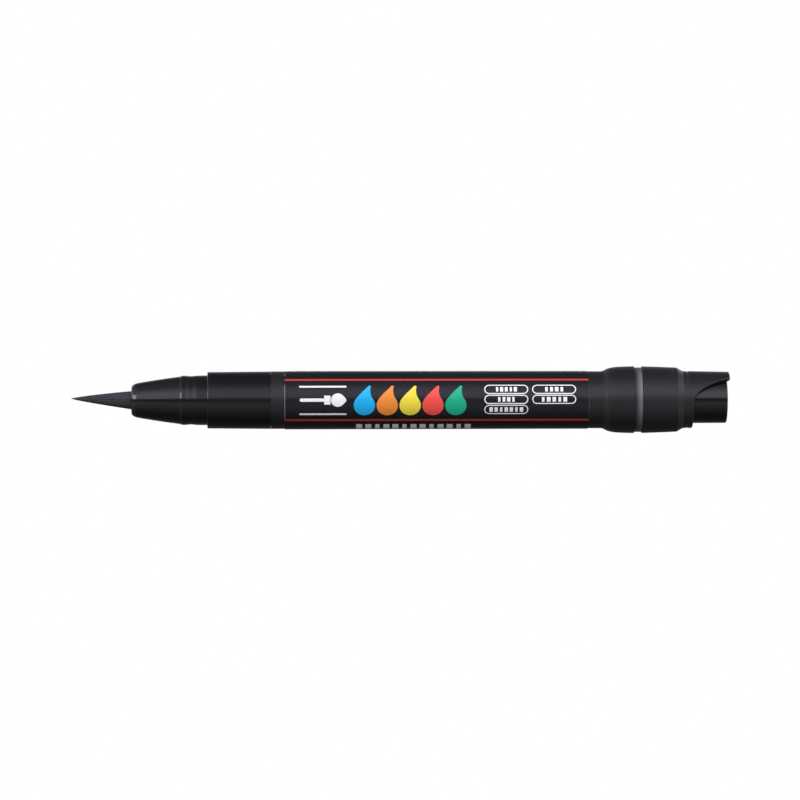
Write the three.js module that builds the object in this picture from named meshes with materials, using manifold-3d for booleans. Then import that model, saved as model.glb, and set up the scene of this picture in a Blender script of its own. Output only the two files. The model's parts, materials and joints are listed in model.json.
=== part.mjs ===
// A valve-action brush pen, uncapped, lying along X: brush tip towards -X, push button towards +X, the
// shroud's tongue over the button towards +Z, and the printed side of the label towards -Y.
// Millimetres. The origin is the centre of the pen, on its axis.

import * as THREE from 'three';
import { mergeVertices } from 'three/addons/utils/BufferGeometryUtils.js';
import Module from 'manifold-3d';

const wasm = await Module();
wasm.setup();

// ---------------------------------------------------------------- driving dimensions

const SHELL_SIDES = 24; // facets round a casing, with one flat facing straight down
const INNER_SIDES = 16; // facets round a small turned part
const FIT = 0.05; // clearance between parts that are pressed or screwed together
const LENGTH = 167.9;
const TIP_X = -LENGTH / 2;
const TAIL_X = LENGTH / 2;

const TUFT = { mouthX: -68.5, pivotX: -68, radius: 2.27, taper: 0.8, steps: 9 };
const ROOT = { frontX: -67.2, endX: -58.4, flangeX: -59.2, flangeRadius: 2.9, hollowFit: 0.15 };
const FERRULE = {
  frontX: -66.3,
  radius: 3.4,
  flangeX: -58,
  flangeRadius: 4.75,
  backX: -56.8,
  bore: 2.45,
  counterbore: 3,
};
const LOCK = { frontX: -56.7, backX: -54.4, radius: 4.8, bore: 3.2 };
const FEED = {
  frontX: -57.9,
  backX: -45,
  radius: 0.95,
  bore: 0.5,
  bushFrontX: -48.5,
  bushBackX: -46,
  bushRadius: 4.8,
  bushBore: 1,
};

const NOSE = {
  frontX: TUFT.mouthX,
  mouthRadius: 2.8,
  faceRadius: 3.4,
  browX: -67.1, // where the rounded front edge runs out into the cone
  browRadius: 4.37,
  coneEndX: -56.25,
  coneEndRadius: 6.05,
  coneBulge: 0.1, // how far the cone stands proud of a straight taper, at its middle
  beadX: -55.5,
  beadBackX: -54.6,
  beadRadius: 6.29,
  waistX: -53.5,
  waistRadius: 6.165,
  rearFrontX: -52,
  rearRadius: 6.33,
  rearX: -46.8,
  ferruleBore: 3.5,
  ferruleBoreX: -66.4,
  bore: 4.9,
  boreX: -58.05,
  skirtRadius: 5.9,
  skirtX: -42.85,
  sealSection: 0.42,
  sealRadius: 5.38,
};

const COLLAR = {
  frontX: -49.2,
  backX: -33.05,
  frontRadius: 7.2,
  backRadius: 7.33,
  edge: 0.25,
  socketRadius: NOSE.rearRadius + FIT,
  socketX: NOSE.rearX + FIT,
  bore: NOSE.skirtRadius + FIT,
  shoulderX: -36,
  cageBore: 4.4,
  spigotRadius: 6.55,
  spigotX: -26.9,
};

const BARREL = {
  frontX: -33,
  frontRadius: 7.31,
  flareX: 51.35,
  flareRadius: 7.27,
  kneeX: 55.3,
  kneeRadius: 8.4,
  flareControlX: 53.15,
  flareControlRadius: 8.26,
  backX: 59.62,
  backRadius: 8.54,
  edge: 0.15,
  tankRadius: 6.2,
  plugStepX: 53.5,
  plugBore: 7.3,
};

const LABEL = {
  frontX: -29.5,
  backX: 47.8,
  frontRadius: 7.46,
  backRadius: 7.41,
  film: 0.1,
  seam: 0.4,
  seamAngle: 9.5, // degrees from the top, towards the printed side
};

const BALL = { radius: 2.3, x: 10, z: -3.8 };

const VALVE = {
  seatFrontX: -41.8,
  seatWallX: -38,
  seatBackX: -36.1,
  seatRadius: 5.85,
  seatBore: 4.9,
  orifice: 1.4,
  headX: -39.8,
  headBackX: -38.75,
  headRadius: 2.6,
  stemRadius: 0.7,
  stemEndX: -27.5,
  collarX: -28.4,
  collarRadius: 2.3,
  springRadius: 1.9,
  springWire: 0.25,
  springTurns: 6,
  cageRadius: 4.3,
  cageBore: 3.4,
  cageBackX: -24,
  cageWall: 1,
  cageHole: 1.3, // radius of the hole for the rod in the cage's end
  windowWidth: 2.2,
  windowDepth: 1.3, // along the pen
};

const ROD = { frontX: VALVE.stemEndX + 0.3, backX: 76.7, radius: 0.9, bore: 1 };

const PLUG = {
  frontX: 49,
  radius: 6.1,
  flangeX: BARREL.plugStepX + FIT,
  flangeBackX: 55,
  flangeRadius: 7.2,
  cupX: 57.5,
  cupRadius: 3.4,
  cupBore: 2.5,
  sealRadius: 2.4,
  sealBore: 0.96,
  capWall: 0.65,
  capGrip: 1.4, // how far the cap reaches over the cup
};

const RING = {
  frontX: 59.7,
  backX: 61.5,
  radius: 8.23,
  bore: 6.05,
  frontSpigotX: 56,
  frontSpigotRadius: 7.2,
  rearSpigotX: 64,
  rearSpigotRadius: 7,
};

const TAIL = {
  frontX: 61.58,
  frontRadius: 8.51,
  shoulderX: 70.5,
  shoulderRadius: 8.2,
  bevelX: 72.12,
  neckRadius: 7.25,
  neckEndX: 73,
  backX: 73.28,
  backRadius: 7.06,
  edge: 0.15,
  ringBore: 7.1,
  ringBoreX: 64.1,
  bore: 6.7,
};

const SHROUD = {
  spigotX: 69.6,
  spigotRadius: 6.65,
  frontX: TAIL.backX + FIT,
  frontRadius: TAIL.backRadius,
  bodyX: 73.6,
  bodyRadius: 7.22,
  backRadius: 7.04,
  bore: 6.15,
  cutX: 74.45,
  // the cut's curve, as [x, z], from the top of its straight part to the tongue's corner
  cutCurve: [
    [74.5, -0.9], [74.8, 0.2], [75.55, 1.5], [76.65, 2.5],
    [77.85, 3.3], [79.3, 4.08], [81, 4.72], [82.6, 5.1],
  ],
  tongueX: 83.35,
  tongueCorner: 0.75,
};

const BUTTON = {
  flangeX: 68.3,
  flangeBackX: 69.3,
  flangeRadius: 6.55,
  radius: 6.02,
  backX: 83.23,
  backRadius: 5.96,
  corner: 0.35,
  bore: 4.9,
  endWallX: 81.6,
  bossX: 72.5,
  bossRadius: 1.8,
  socketX: 77,
};

const BUSH = { frontX: 58.45, backX: 60.1, radius: 5.95, collarX: 62, collarRadius: 3.9, collarBore: 3.3 };
const RETURN_SPRING = { frontX: 60.3, backX: 81.4, radius: 2.75, wire: 0.3, turns: 9 };

// ---------------------------------------------------------------- materials

function finish(color, roughness, metalness = 0) {
  return new THREE.MeshStandardMaterial({ color, roughness, metalness });
}

const FINISH = {
  glossBlack: finish(0x141416, 0.15),
  satinBlack: finish(0x18181b, 0.35),
  matteBlack: finish(0x1d1c1f, 0.6),
  labelBlack: finish(0x19191d, 0.3),
  smoke: finish(0x6b6f76, 0.3),
  tuft: finish(0x26262b, 0.7),
  white: finish(0xd8d8d4, 0.5),
  rubber: finish(0x2a2a2a, 0.9),
  steel: finish(0xb8bcc2, 0.3, 1),
};

// ---------------------------------------------------------------- helpers

// A closed ring profile, or one that starts and ends on the axis, turned round X. Each point is [x, radius];
// the outside runs towards +X and the inside comes back.
function turnedGeometry(outline, sides) {
  const points = outline.map(([x, radius]) => new THREE.Vector2(radius, x));
  const geometry = new THREE.LatheGeometry(points, sides, Math.PI / sides);
  geometry.rotateZ(-Math.PI / 2);
  return geometry;
}

function node(name, geometry, material) {
  const mesh = new THREE.Mesh(geometry, material);
  mesh.name = name;
  return mesh;
}

function turned(name, outline, sides, material) {
  return node(name, turnedGeometry(outline, sides), material);
}

// A plain tube or washer between two stations along X.
function sleeve(name, x0, x1, outer, inner, sides, material) {
  const outline = [[x0, outer], [x1, outer], [x1, inner], [x0, inner], [x0, outer]];
  return turned(name, outline, sides, material);
}

// Points on a quarter ellipse from `from` to `to`, with the flat tangent along X at `to`.
function quarterRound(from, to, steps) {
  const points = [];
  for (let i = 0; i <= steps; i += 1) {
    const angle = (i / steps) * (Math.PI / 2);
    const x = from[0] + (to[0] - from[0]) * (1 - Math.cos(angle));
    const r = from[1] + (to[1] - from[1]) * Math.sin(angle);
    points.push([x, r]);
  }
  return points;
}

function solidOf(geometry) {
  const bare = geometry.clone();
  bare.deleteAttribute('normal');
  bare.deleteAttribute('uv');
  const merged = mergeVertices(bare, 1e-4);
  const vertProperties = new Float32Array(merged.attributes.position.array);
  const triVerts = new Uint32Array(merged.index.array);
  return new wasm.Manifold(new wasm.Mesh({ numProp: 3, vertProperties, triVerts }));
}

function geometryOf(solid) {
  const mesh = solid.getMesh();
  const geometry = new THREE.BufferGeometry();
  geometry.setAttribute('position', new THREE.BufferAttribute(new Float32Array(mesh.vertProperties), 3));
  geometry.setIndex(new THREE.BufferAttribute(new Uint32Array(mesh.triVerts), 1));
  geometry.computeVertexNormals();
  return geometry;
}

function cut(geometry, ...tools) {
  const rest = tools.reduce((solid, tool) => solid.subtract(solidOf(tool)), solidOf(geometry));
  return geometryOf(rest);
}

// A helix of `turns` round X whose wire is the sweep of a small polygon.
class Helix extends THREE.Curve {
  constructor(x0, x1, radius, turns) {
    super();
    Object.assign(this, { x0, x1, radius, turns });
  }

  getPoint(t, target = new THREE.Vector3()) {
    const angle = t * this.turns * 2 * Math.PI;
    const x = this.x0 + (this.x1 - this.x0) * t;
    return target.set(x, this.radius * Math.sin(angle), this.radius * Math.cos(angle));
  }
}

function coilSpring(name, x0, x1, radius, wire, turns) {
  const section = new THREE.Shape();
  const sides = 6;
  for (let i = 0; i < sides; i += 1) {
    const angle = (i / sides) * 2 * Math.PI;
    const corner = [wire * Math.cos(angle), wire * Math.sin(angle)];
    if (i === 0) section.moveTo(...corner);
    else section.lineTo(...corner);
  }
  const path = new Helix(x0 + wire, x1 - wire, radius, turns);
  const stepsPerTurn = 10;
  const options = { steps: turns * stepsPerTurn, bevelEnabled: false, extrudePath: path };
  return node(name, new THREE.ExtrudeGeometry(section, options), FINISH.steel);
}

// ---------------------------------------------------------------- brush and nose

// The free tuft: a long taper with a round heel, on which it bends in the nose's mouth.
function brushTip() {
  const length = TUFT.pivotX - TIP_X;
  const outline = [];
  for (let i = 0; i <= TUFT.steps; i += 1) {
    const along = (i / TUFT.steps) ** 1.4;
    outline.push([TIP_X + along * length, TUFT.radius * along ** TUFT.taper]);
  }
  const heel = 4;
  for (let i = 1; i <= heel; i += 1) {
    const angle = (i / heel) * (Math.PI / 2);
    const x = TUFT.pivotX + TUFT.radius * Math.sin(angle);
    outline.push([x, i === heel ? 0 : TUFT.radius * Math.cos(angle)]);
  }
  return turned('brush_tip', outline, INNER_SIDES, FINISH.tuft);
}

// The bound end of the tuft, hollowed at the front round the free part's heel and fused to a flange behind.
function brushRoot() {
  const hollow = TUFT.radius + ROOT.hollowFit;
  const rimAngle = Math.acos((ROOT.frontX - TUFT.pivotX) / hollow);
  const rim = hollow * Math.sin(rimAngle);
  const outline = [
    [ROOT.frontX, rim],
    [ROOT.flangeX, rim],
    [ROOT.flangeX, ROOT.flangeRadius],
    [ROOT.endX, ROOT.flangeRadius],
    [ROOT.endX, 0],
  ];
  const steps = 4;
  for (let i = 0; i <= steps; i += 1) {
    const angle = (i / steps) * rimAngle;
    outline.push([TUFT.pivotX + hollow * Math.cos(angle), hollow * Math.sin(angle)]);
  }
  return turned('brush_root', outline, INNER_SIDES, FINISH.tuft);
}

function brushFerrule() {
  const counterboreX = ROOT.flangeX - 2 * FIT;
  const outline = [
    [FERRULE.frontX, FERRULE.radius],
    [FERRULE.flangeX, FERRULE.radius],
    [FERRULE.flangeX, FERRULE.flangeRadius],
    [FERRULE.backX, FERRULE.flangeRadius],
    [FERRULE.backX, FERRULE.counterbore],
    [counterboreX, FERRULE.counterbore],
    [counterboreX, FERRULE.bore],
    [FERRULE.frontX, FERRULE.bore],
    [FERRULE.frontX, FERRULE.radius],
  ];
  return turned('brush_ferrule', outline, INNER_SIDES, FINISH.white);
}

function noseCone() {
  const { browX, browRadius } = NOSE;
  const outline = quarterRound([NOSE.frontX, NOSE.faceRadius], [browX, browRadius], 3);
  const coneSteps = 4;
  for (let i = 1; i <= coneSteps; i += 1) {
    const t = i / coneSteps;
    const x = browX + (NOSE.coneEndX - browX) * t;
    const straight = browRadius + (NOSE.coneEndRadius - browRadius) * t;
    outline.push([x, straight + NOSE.coneBulge * 4 * t * (1 - t)]);
  }
  outline.push(
    [NOSE.beadX, NOSE.beadRadius],
    [NOSE.beadBackX, NOSE.beadRadius],
    [NOSE.waistX, NOSE.waistRadius],
    [NOSE.rearFrontX, NOSE.rearRadius],
    [NOSE.rearX, NOSE.rearRadius],
    [NOSE.rearX, NOSE.skirtRadius],
    [NOSE.skirtX, NOSE.skirtRadius],
    [NOSE.skirtX, NOSE.bore],
    [NOSE.boreX, NOSE.bore],
    [NOSE.boreX, NOSE.ferruleBore],
    [NOSE.ferruleBoreX, NOSE.ferruleBore],
    [NOSE.ferruleBoreX, NOSE.mouthRadius],
    [NOSE.frontX, NOSE.mouthRadius],
    [NOSE.frontX, NOSE.faceRadius],
  );
  return turned('nose_cone', outline, SHELL_SIDES, FINISH.glossBlack);
}

function ferruleLock() {
  const { frontX, backX, radius, bore } = LOCK;
  return sleeve('ferrule_lock', frontX, backX, radius, bore, INNER_SIDES, FINISH.white);
}

function feedTube() {
  const { frontX, backX, radius, bore } = FEED;
  return sleeve('feed_tube', frontX, backX, radius, bore, INNER_SIDES, FINISH.white);
}

function feedBush() {
  const { bushFrontX, bushBackX, bushRadius, bushBore } = FEED;
  return sleeve('feed_bush', bushFrontX, bushBackX, bushRadius, bushBore, INNER_SIDES, FINISH.white);
}

// A round-section ring between the nose's skirt and the valve seat.
function noseSeal() {
  const section = NOSE.sealSection;
  const middleX = (NOSE.skirtX + VALVE.seatFrontX) / 2;
  const outline = [];
  const steps = 6;
  for (let i = 0; i <= steps; i += 1) {
    const angle = (i / steps) * 2 * Math.PI;
    outline.push([middleX - section * Math.cos(angle), NOSE.sealRadius + section * Math.sin(angle)]);
  }
  return turned('nose_seal', outline, INNER_SIDES, FINISH.rubber);
}

// ---------------------------------------------------------------- collar and valve

function frontCollar() {
  const outline = [
    [COLLAR.frontX, COLLAR.frontRadius - COLLAR.edge],
    [COLLAR.frontX + COLLAR.edge, COLLAR.frontRadius],
    [COLLAR.backX - COLLAR.edge, COLLAR.backRadius],
    [COLLAR.backX, COLLAR.backRadius - COLLAR.edge / 2],
    [COLLAR.backX, COLLAR.spigotRadius],
    [COLLAR.spigotX, COLLAR.spigotRadius],
    [COLLAR.spigotX, COLLAR.cageBore],
    [COLLAR.shoulderX, COLLAR.cageBore],
    [COLLAR.shoulderX, COLLAR.bore],
    [COLLAR.socketX, COLLAR.bore],
    [COLLAR.socketX, COLLAR.socketRadius],
    [COLLAR.frontX, COLLAR.socketRadius],
    [COLLAR.frontX, COLLAR.frontRadius - COLLAR.edge],
  ];
  return turned('front_collar', outline, SHELL_SIDES, FINISH.satinBlack);
}

function valveSeat() {
  const outline = [
    [VALVE.seatFrontX, VALVE.seatRadius],
    [VALVE.seatBackX, VALVE.seatRadius],
    [VALVE.seatBackX, VALVE.orifice],
    [VALVE.seatWallX, VALVE.orifice],
    [VALVE.seatWallX, VALVE.seatBore],
    [VALVE.seatFrontX, VALVE.seatBore],
    [VALVE.seatFrontX, VALVE.seatRadius],
  ];
  return turned('valve_seat', outline, INNER_SIDES, FINISH.white);
}

function valveStem() {
  const outline = [
    [VALVE.headX, 0],
    [VALVE.headX, VALVE.headRadius],
    [VALVE.headBackX, VALVE.headRadius],
    [VALVE.headBackX, VALVE.stemRadius],
    [VALVE.stemEndX, VALVE.stemRadius],
    [VALVE.stemEndX, 0],
  ];
  return turned('valve_stem', outline, INNER_SIDES, FINISH.white);
}

function valveGasket() {
  const bore = VALVE.stemRadius + FIT;
  const backX = VALVE.seatWallX - FIT;
  const radius = VALVE.headRadius;
  return sleeve('valve_gasket', VALVE.headBackX + FIT, backX, radius, bore, INNER_SIDES, FINISH.rubber);
}

function stemCollar() {
  const bore = VALVE.stemRadius + FIT;
  const { collarX, stemEndX, collarRadius } = VALVE;
  return sleeve('stem_collar', collarX, stemEndX, collarRadius, bore, INNER_SIDES, FINISH.white);
}

function valveSpring() {
  const x0 = VALVE.seatBackX + FIT;
  const x1 = VALVE.collarX - FIT;
  return coilSpring('valve_spring', x0, x1, VALVE.springRadius, VALVE.springWire, VALVE.springTurns);
}

// The cage round the valve spring, with ink windows where it stands into the tank.
function valveCage() {
  const wallX = VALVE.cageBackX - VALVE.cageWall;
  const frontX = COLLAR.shoulderX + FIT;
  const shell = turnedGeometry(
    [
      [frontX, VALVE.cageRadius],
      [VALVE.cageBackX, VALVE.cageRadius],
      [VALVE.cageBackX, VALVE.cageHole],
      [wallX, VALVE.cageHole],
      [wallX, VALVE.cageBore],
      [frontX, VALVE.cageBore],
      [frontX, VALVE.cageRadius],
    ],
    INNER_SIDES,
  );
  const depth = VALVE.windowDepth;
  const windowX = wallX - 4 * FIT - depth / 2;
  const across = 2 * VALVE.cageRadius + 2;
  const sideWindows = new THREE.BoxGeometry(depth, across, VALVE.windowWidth);
  const topWindows = new THREE.BoxGeometry(depth, VALVE.windowWidth, across);
  for (const windows of [sideWindows, topWindows]) windows.translate(windowX, 0, 0);
  return node('valve_cage', cut(shell, sideWindows, topWindows), FINISH.white);
}

// ---------------------------------------------------------------- barrel and tank

function barrel() {
  const flare = new THREE.QuadraticBezierCurve(
    new THREE.Vector2(BARREL.flareX, BARREL.flareRadius),
    new THREE.Vector2(BARREL.flareControlX, BARREL.flareControlRadius),
    new THREE.Vector2(BARREL.kneeX, BARREL.kneeRadius),
  );
  const outline = [
    [BARREL.frontX, BARREL.frontRadius - BARREL.edge],
    [BARREL.frontX + BARREL.edge, BARREL.frontRadius],
    ...flare.getPoints(5).map((point) => [point.x, point.y]),
    [BARREL.backX - BARREL.edge, BARREL.backRadius],
    [BARREL.backX, BARREL.backRadius - BARREL.edge],
    [BARREL.backX, BARREL.plugBore],
    [BARREL.plugStepX, BARREL.plugBore],
    [BARREL.plugStepX, BARREL.tankRadius],
    [COLLAR.spigotX + FIT, BARREL.tankRadius],
    [COLLAR.spigotX + FIT, COLLAR.spigotRadius + FIT],
    [BARREL.frontX, COLLAR.spigotRadius + FIT],
    [BARREL.frontX, BARREL.frontRadius - BARREL.edge],
  ];
  return turned('barrel', outline, SHELL_SIDES, FINISH.matteBlack);
}

// The printed film, wrapped once round the barrel, with the gap between its two ends near the top.
function label() {
  const film = turnedGeometry(
    [
      [LABEL.frontX, LABEL.frontRadius],
      [LABEL.backX, LABEL.backRadius],
      [LABEL.backX, LABEL.backRadius - LABEL.film],
      [LABEL.frontX, LABEL.frontRadius - LABEL.film],
      [LABEL.frontX, LABEL.frontRadius],
    ],
    SHELL_SIDES,
  );
  const depth = 2;
  const seam = new THREE.BoxGeometry(LABEL.backX - LABEL.frontX + depth, LABEL.seam, depth);
  seam.translate((LABEL.frontX + LABEL.backX) / 2, 0, LABEL.frontRadius);
  seam.rotateX(THREE.MathUtils.degToRad(LABEL.seamAngle));
  return node('label', cut(film, seam), FINISH.labelBlack);
}

function mixingBall() {
  const mesh = node('mixing_ball', new THREE.SphereGeometry(BALL.radius, 12, 8), FINISH.steel);
  mesh.position.set(BALL.x, 0, BALL.z);
  return mesh;
}

function pushRod() {
  const { frontX, backX, radius } = ROD;
  const outline = [[frontX, 0], [frontX, radius], [backX, radius], [backX, 0]];
  return turned('push_rod', outline, INNER_SIDES, FINISH.white);
}

function tankPlug() {
  const outline = [
    [PLUG.frontX, PLUG.radius],
    [PLUG.flangeX, PLUG.radius],
    [PLUG.flangeX, PLUG.flangeRadius],
    [PLUG.flangeBackX, PLUG.flangeRadius],
    [PLUG.flangeBackX, PLUG.cupRadius],
    [PLUG.cupX, PLUG.cupRadius],
    [PLUG.cupX, PLUG.cupBore],
    [PLUG.flangeBackX, PLUG.cupBore],
    [PLUG.flangeBackX, ROD.bore],
    [PLUG.frontX, ROD.bore],
    [PLUG.frontX, PLUG.radius],
  ];
  return turned('tank_plug', outline, SHELL_SIDES, FINISH.white);
}

function rodSeal() {
  const x0 = PLUG.flangeBackX + FIT;
  const x1 = PLUG.cupX - 4 * FIT;
  return sleeve('rod_seal', x0, x1, PLUG.sealRadius, PLUG.sealBore, INNER_SIDES, FINISH.rubber);
}

function sealCap() {
  const wallX = PLUG.cupX + FIT;
  const backX = wallX + PLUG.capWall;
  const gripX = wallX - PLUG.capGrip;
  const inner = PLUG.cupRadius + 2 * FIT;
  const outer = inner + PLUG.capWall;
  const outline = [
    [gripX, outer],
    [backX, outer],
    [backX, ROD.bore],
    [wallX, ROD.bore],
    [wallX, inner],
    [gripX, inner],
    [gripX, outer],
  ];
  return turned('seal_cap', outline, INNER_SIDES, FINISH.white);
}

// ---------------------------------------------------------------- tail

function clearRing() {
  const outline = [
    [RING.frontSpigotX, RING.frontSpigotRadius],
    [RING.frontX, RING.frontSpigotRadius],
    [RING.frontX, RING.radius],
    [RING.backX, RING.radius],
    [RING.backX, RING.rearSpigotRadius],
    [RING.rearSpigotX, RING.rearSpigotRadius],
    [RING.rearSpigotX, RING.bore],
    [RING.frontSpigotX, RING.bore],
    [RING.frontSpigotX, RING.frontSpigotRadius],
  ];
  return turned('clear_ring', outline, SHELL_SIDES, FINISH.smoke);
}

// Guides the rod and seats the return spring.
function guideBush() {
  const outline = [
    [BUSH.frontX, BUSH.radius],
    [BUSH.backX, BUSH.radius],
    [BUSH.backX, BUSH.collarRadius],
    [BUSH.collarX, BUSH.collarRadius],
    [BUSH.collarX, BUSH.collarBore],
    [BUSH.backX, BUSH.collarBore],
    [BUSH.backX, ROD.bore],
    [BUSH.frontX, ROD.bore],
    [BUSH.frontX, BUSH.radius],
  ];
  return turned('guide_bush', outline, SHELL_SIDES, FINISH.matteBlack);
}

function returnSpring() {
  const { frontX, backX, radius, wire, turns } = RETURN_SPRING;
  return coilSpring('return_spring', frontX, backX, radius, wire, turns);
}

function tailHousing() {
  const outline = [
    [TAIL.frontX, TAIL.frontRadius - TAIL.edge],
    [TAIL.frontX + TAIL.edge, TAIL.frontRadius],
    [TAIL.shoulderX, TAIL.shoulderRadius],
    [TAIL.bevelX, TAIL.neckRadius],
    [TAIL.neckEndX, TAIL.neckRadius],
    [TAIL.backX, TAIL.backRadius],
    [TAIL.backX, TAIL.bore],
    [TAIL.ringBoreX, TAIL.bore],
    [TAIL.ringBoreX, TAIL.ringBore],
    [TAIL.frontX, TAIL.ringBore],
    [TAIL.frontX, TAIL.frontRadius - TAIL.edge],
  ];
  return turned('tail_housing', outline, SHELL_SIDES, FINISH.matteBlack);
}

// What is cut away from the shroud's sleeve, seen from the side: everything behind a straight edge and
// below a curve, with a round corner up to the end of the tongue.
function quillCut() {
  const { cutX, cutCurve, tongueX, tongueCorner } = SHROUD;
  const tongueZ = cutCurve[cutCurve.length - 1][1];
  const margin = 2;
  const below = -SHROUD.bodyRadius - margin;
  const cornerTopZ = tongueZ + 2 * tongueCorner;
  const curve = new THREE.SplineCurve(cutCurve.map(([x, z]) => new THREE.Vector2(x, z)));
  const shape = new THREE.Shape();
  shape.moveTo(cutX, below);
  for (const point of curve.getPoints(10)) shape.lineTo(point.x, point.y);
  shape.lineTo(tongueX, tongueZ + tongueCorner * 0.5);
  shape.lineTo(TAIL_X + FIT, cornerTopZ);
  shape.lineTo(TAIL_X + margin, cornerTopZ);
  shape.lineTo(TAIL_X + margin, below);
  shape.closePath();
  const width = 2 * (SHROUD.bodyRadius + margin);
  const geometry = new THREE.ExtrudeGeometry(shape, { depth: width, bevelEnabled: false, steps: 1 });
  geometry.rotateX(Math.PI / 2);
  geometry.translate(0, width / 2, 0);
  return geometry;
}

// The guard round the button: a short ring that runs out into a tongue over the button's top.
function buttonShroud() {
  const outline = [
    [SHROUD.spigotX, SHROUD.spigotRadius],
    [SHROUD.frontX, SHROUD.spigotRadius],
    [SHROUD.frontX, SHROUD.frontRadius],
    [SHROUD.bodyX, SHROUD.bodyRadius],
    [TAIL_X, SHROUD.backRadius],
    [TAIL_X, SHROUD.bore],
    [SHROUD.spigotX, SHROUD.bore],
    [SHROUD.spigotX, SHROUD.spigotRadius],
  ];
  const sleeveGeometry = turnedGeometry(outline, SHELL_SIDES);
  return node('button_shroud', cut(sleeveGeometry, quillCut()), FINISH.matteBlack);
}

// A cup with a flange that stops against the shroud, and a boss inside that holds the rod.
function pushButton() {
  const outline = [
    [BUTTON.flangeX, BUTTON.flangeRadius],
    [BUTTON.flangeBackX, BUTTON.flangeRadius],
    [BUTTON.flangeBackX, BUTTON.radius],
    [BUTTON.backX - BUTTON.corner, BUTTON.backRadius],
    [BUTTON.backX, BUTTON.backRadius - BUTTON.corner],
    [BUTTON.backX, 0],
    [BUTTON.socketX, 0],
    [BUTTON.socketX, ROD.radius + FIT],
    [BUTTON.bossX, ROD.radius + FIT],
    [BUTTON.bossX, BUTTON.bossRadius],
    [BUTTON.endWallX, BUTTON.bossRadius],
    [BUTTON.endWallX, BUTTON.bore],
    [BUTTON.flangeX, BUTTON.bore],
    [BUTTON.flangeX, BUTTON.flangeRadius],
  ];
  return turned('push_button', outline, SHELL_SIDES, FINISH.glossBlack);
}

// ---------------------------------------------------------------- assembly

function group(...meshes) {
  const made = new THREE.Group();
  made.add(...meshes);
  return made;
}

const brushPen = group(
  group(brushTip(), brushRoot(), brushFerrule(), noseCone(), ferruleLock()),
  group(feedTube(), feedBush(), noseSeal()),
  group(frontCollar(), valveSeat(), valveCage()),
  group(valveStem(), valveGasket(), stemCollar(), valveSpring()),
  group(barrel(), label(), mixingBall(), tankPlug(), rodSeal(), sealCap()),
  group(clearRing(), guideBush(), tailHousing(), buttonShroud()),
  group(pushButton(), pushRod(), returnSpring()),
);

export default brushPen;
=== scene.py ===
"""The looks of the brush pen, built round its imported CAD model.

The pen lies along X with its brush towards -X and its push button towards +X. +Z is up, through the
shroud's tongue, and the printed side of the label faces -Y, towards the camera. Outlines are written in
millimetres, as (x, radius) points, and every mesh is stored in metres in the CAD model's own frame.
"""

import json
import math
import random

import bmesh
import bpy
from mathutils import Matrix, Vector


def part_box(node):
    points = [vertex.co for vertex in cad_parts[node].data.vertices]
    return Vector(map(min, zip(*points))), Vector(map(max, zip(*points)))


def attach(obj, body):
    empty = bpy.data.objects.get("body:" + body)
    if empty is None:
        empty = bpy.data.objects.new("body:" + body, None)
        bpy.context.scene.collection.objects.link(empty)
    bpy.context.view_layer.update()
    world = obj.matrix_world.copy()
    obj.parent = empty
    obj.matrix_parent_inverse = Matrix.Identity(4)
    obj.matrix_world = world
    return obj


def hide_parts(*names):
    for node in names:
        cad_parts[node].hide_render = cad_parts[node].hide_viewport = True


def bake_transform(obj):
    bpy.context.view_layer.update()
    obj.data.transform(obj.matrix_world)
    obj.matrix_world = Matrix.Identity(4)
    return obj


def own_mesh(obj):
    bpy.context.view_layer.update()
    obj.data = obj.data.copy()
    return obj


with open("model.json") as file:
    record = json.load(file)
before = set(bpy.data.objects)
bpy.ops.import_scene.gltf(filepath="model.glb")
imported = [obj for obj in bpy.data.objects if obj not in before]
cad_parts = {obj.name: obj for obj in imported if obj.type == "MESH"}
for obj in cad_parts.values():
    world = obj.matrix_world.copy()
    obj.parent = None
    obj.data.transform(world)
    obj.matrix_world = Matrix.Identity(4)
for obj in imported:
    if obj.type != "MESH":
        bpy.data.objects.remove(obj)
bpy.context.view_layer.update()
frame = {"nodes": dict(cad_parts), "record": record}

MM = 0.001
FINE = 144  # facets round an outer part
SMALL = 64  # facets round an inner part
CREASE = math.radians(40)  # a sharper edge than this keeps its facets apart in shading
BODY = "pen_body"


# ---- places and slots in the frame


class Span:
    """Where a CAD node lies along the pen, in millimetres."""

    def __init__(self, node):
        low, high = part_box(node)
        self.x0, self.x1 = low.x / MM, high.x / MM


TIP = Span("brush_tip")
NOSE = Span("nose_cone")
COLLAR = Span("front_collar")
BARREL = Span("barrel")
LABEL = Span("label")
RING = Span("clear_ring")
TAIL = Span("tail_housing")
SHROUD = Span("button_shroud")
BUTTON = Span("push_button")

COLLAR_BACK = BARREL.x0 - 0.02

SLOTS = {row["node"]: row["material_slot"] for row in frame["record"]["subparts"]}


# ---- outlines


def shares(steps):
    """Even steps from 0 to 1."""
    return [i / steps for i in range(steps + 1)]


def around(count):
    """Even steps of angle round a circle, from 0."""
    return [2 * math.pi * i / count for i in range(count)]


NEARLY_STRAIGHT = math.radians(176)  # a corner flatter than this isn't rounded
ROUNDING_SHARE = 0.45  # the most that a rounding takes up of the shorter side at its corner
STAND_OFF = (0.35, 0.03)  # how far a support point stands off: a share of the rounding, and a length


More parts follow.
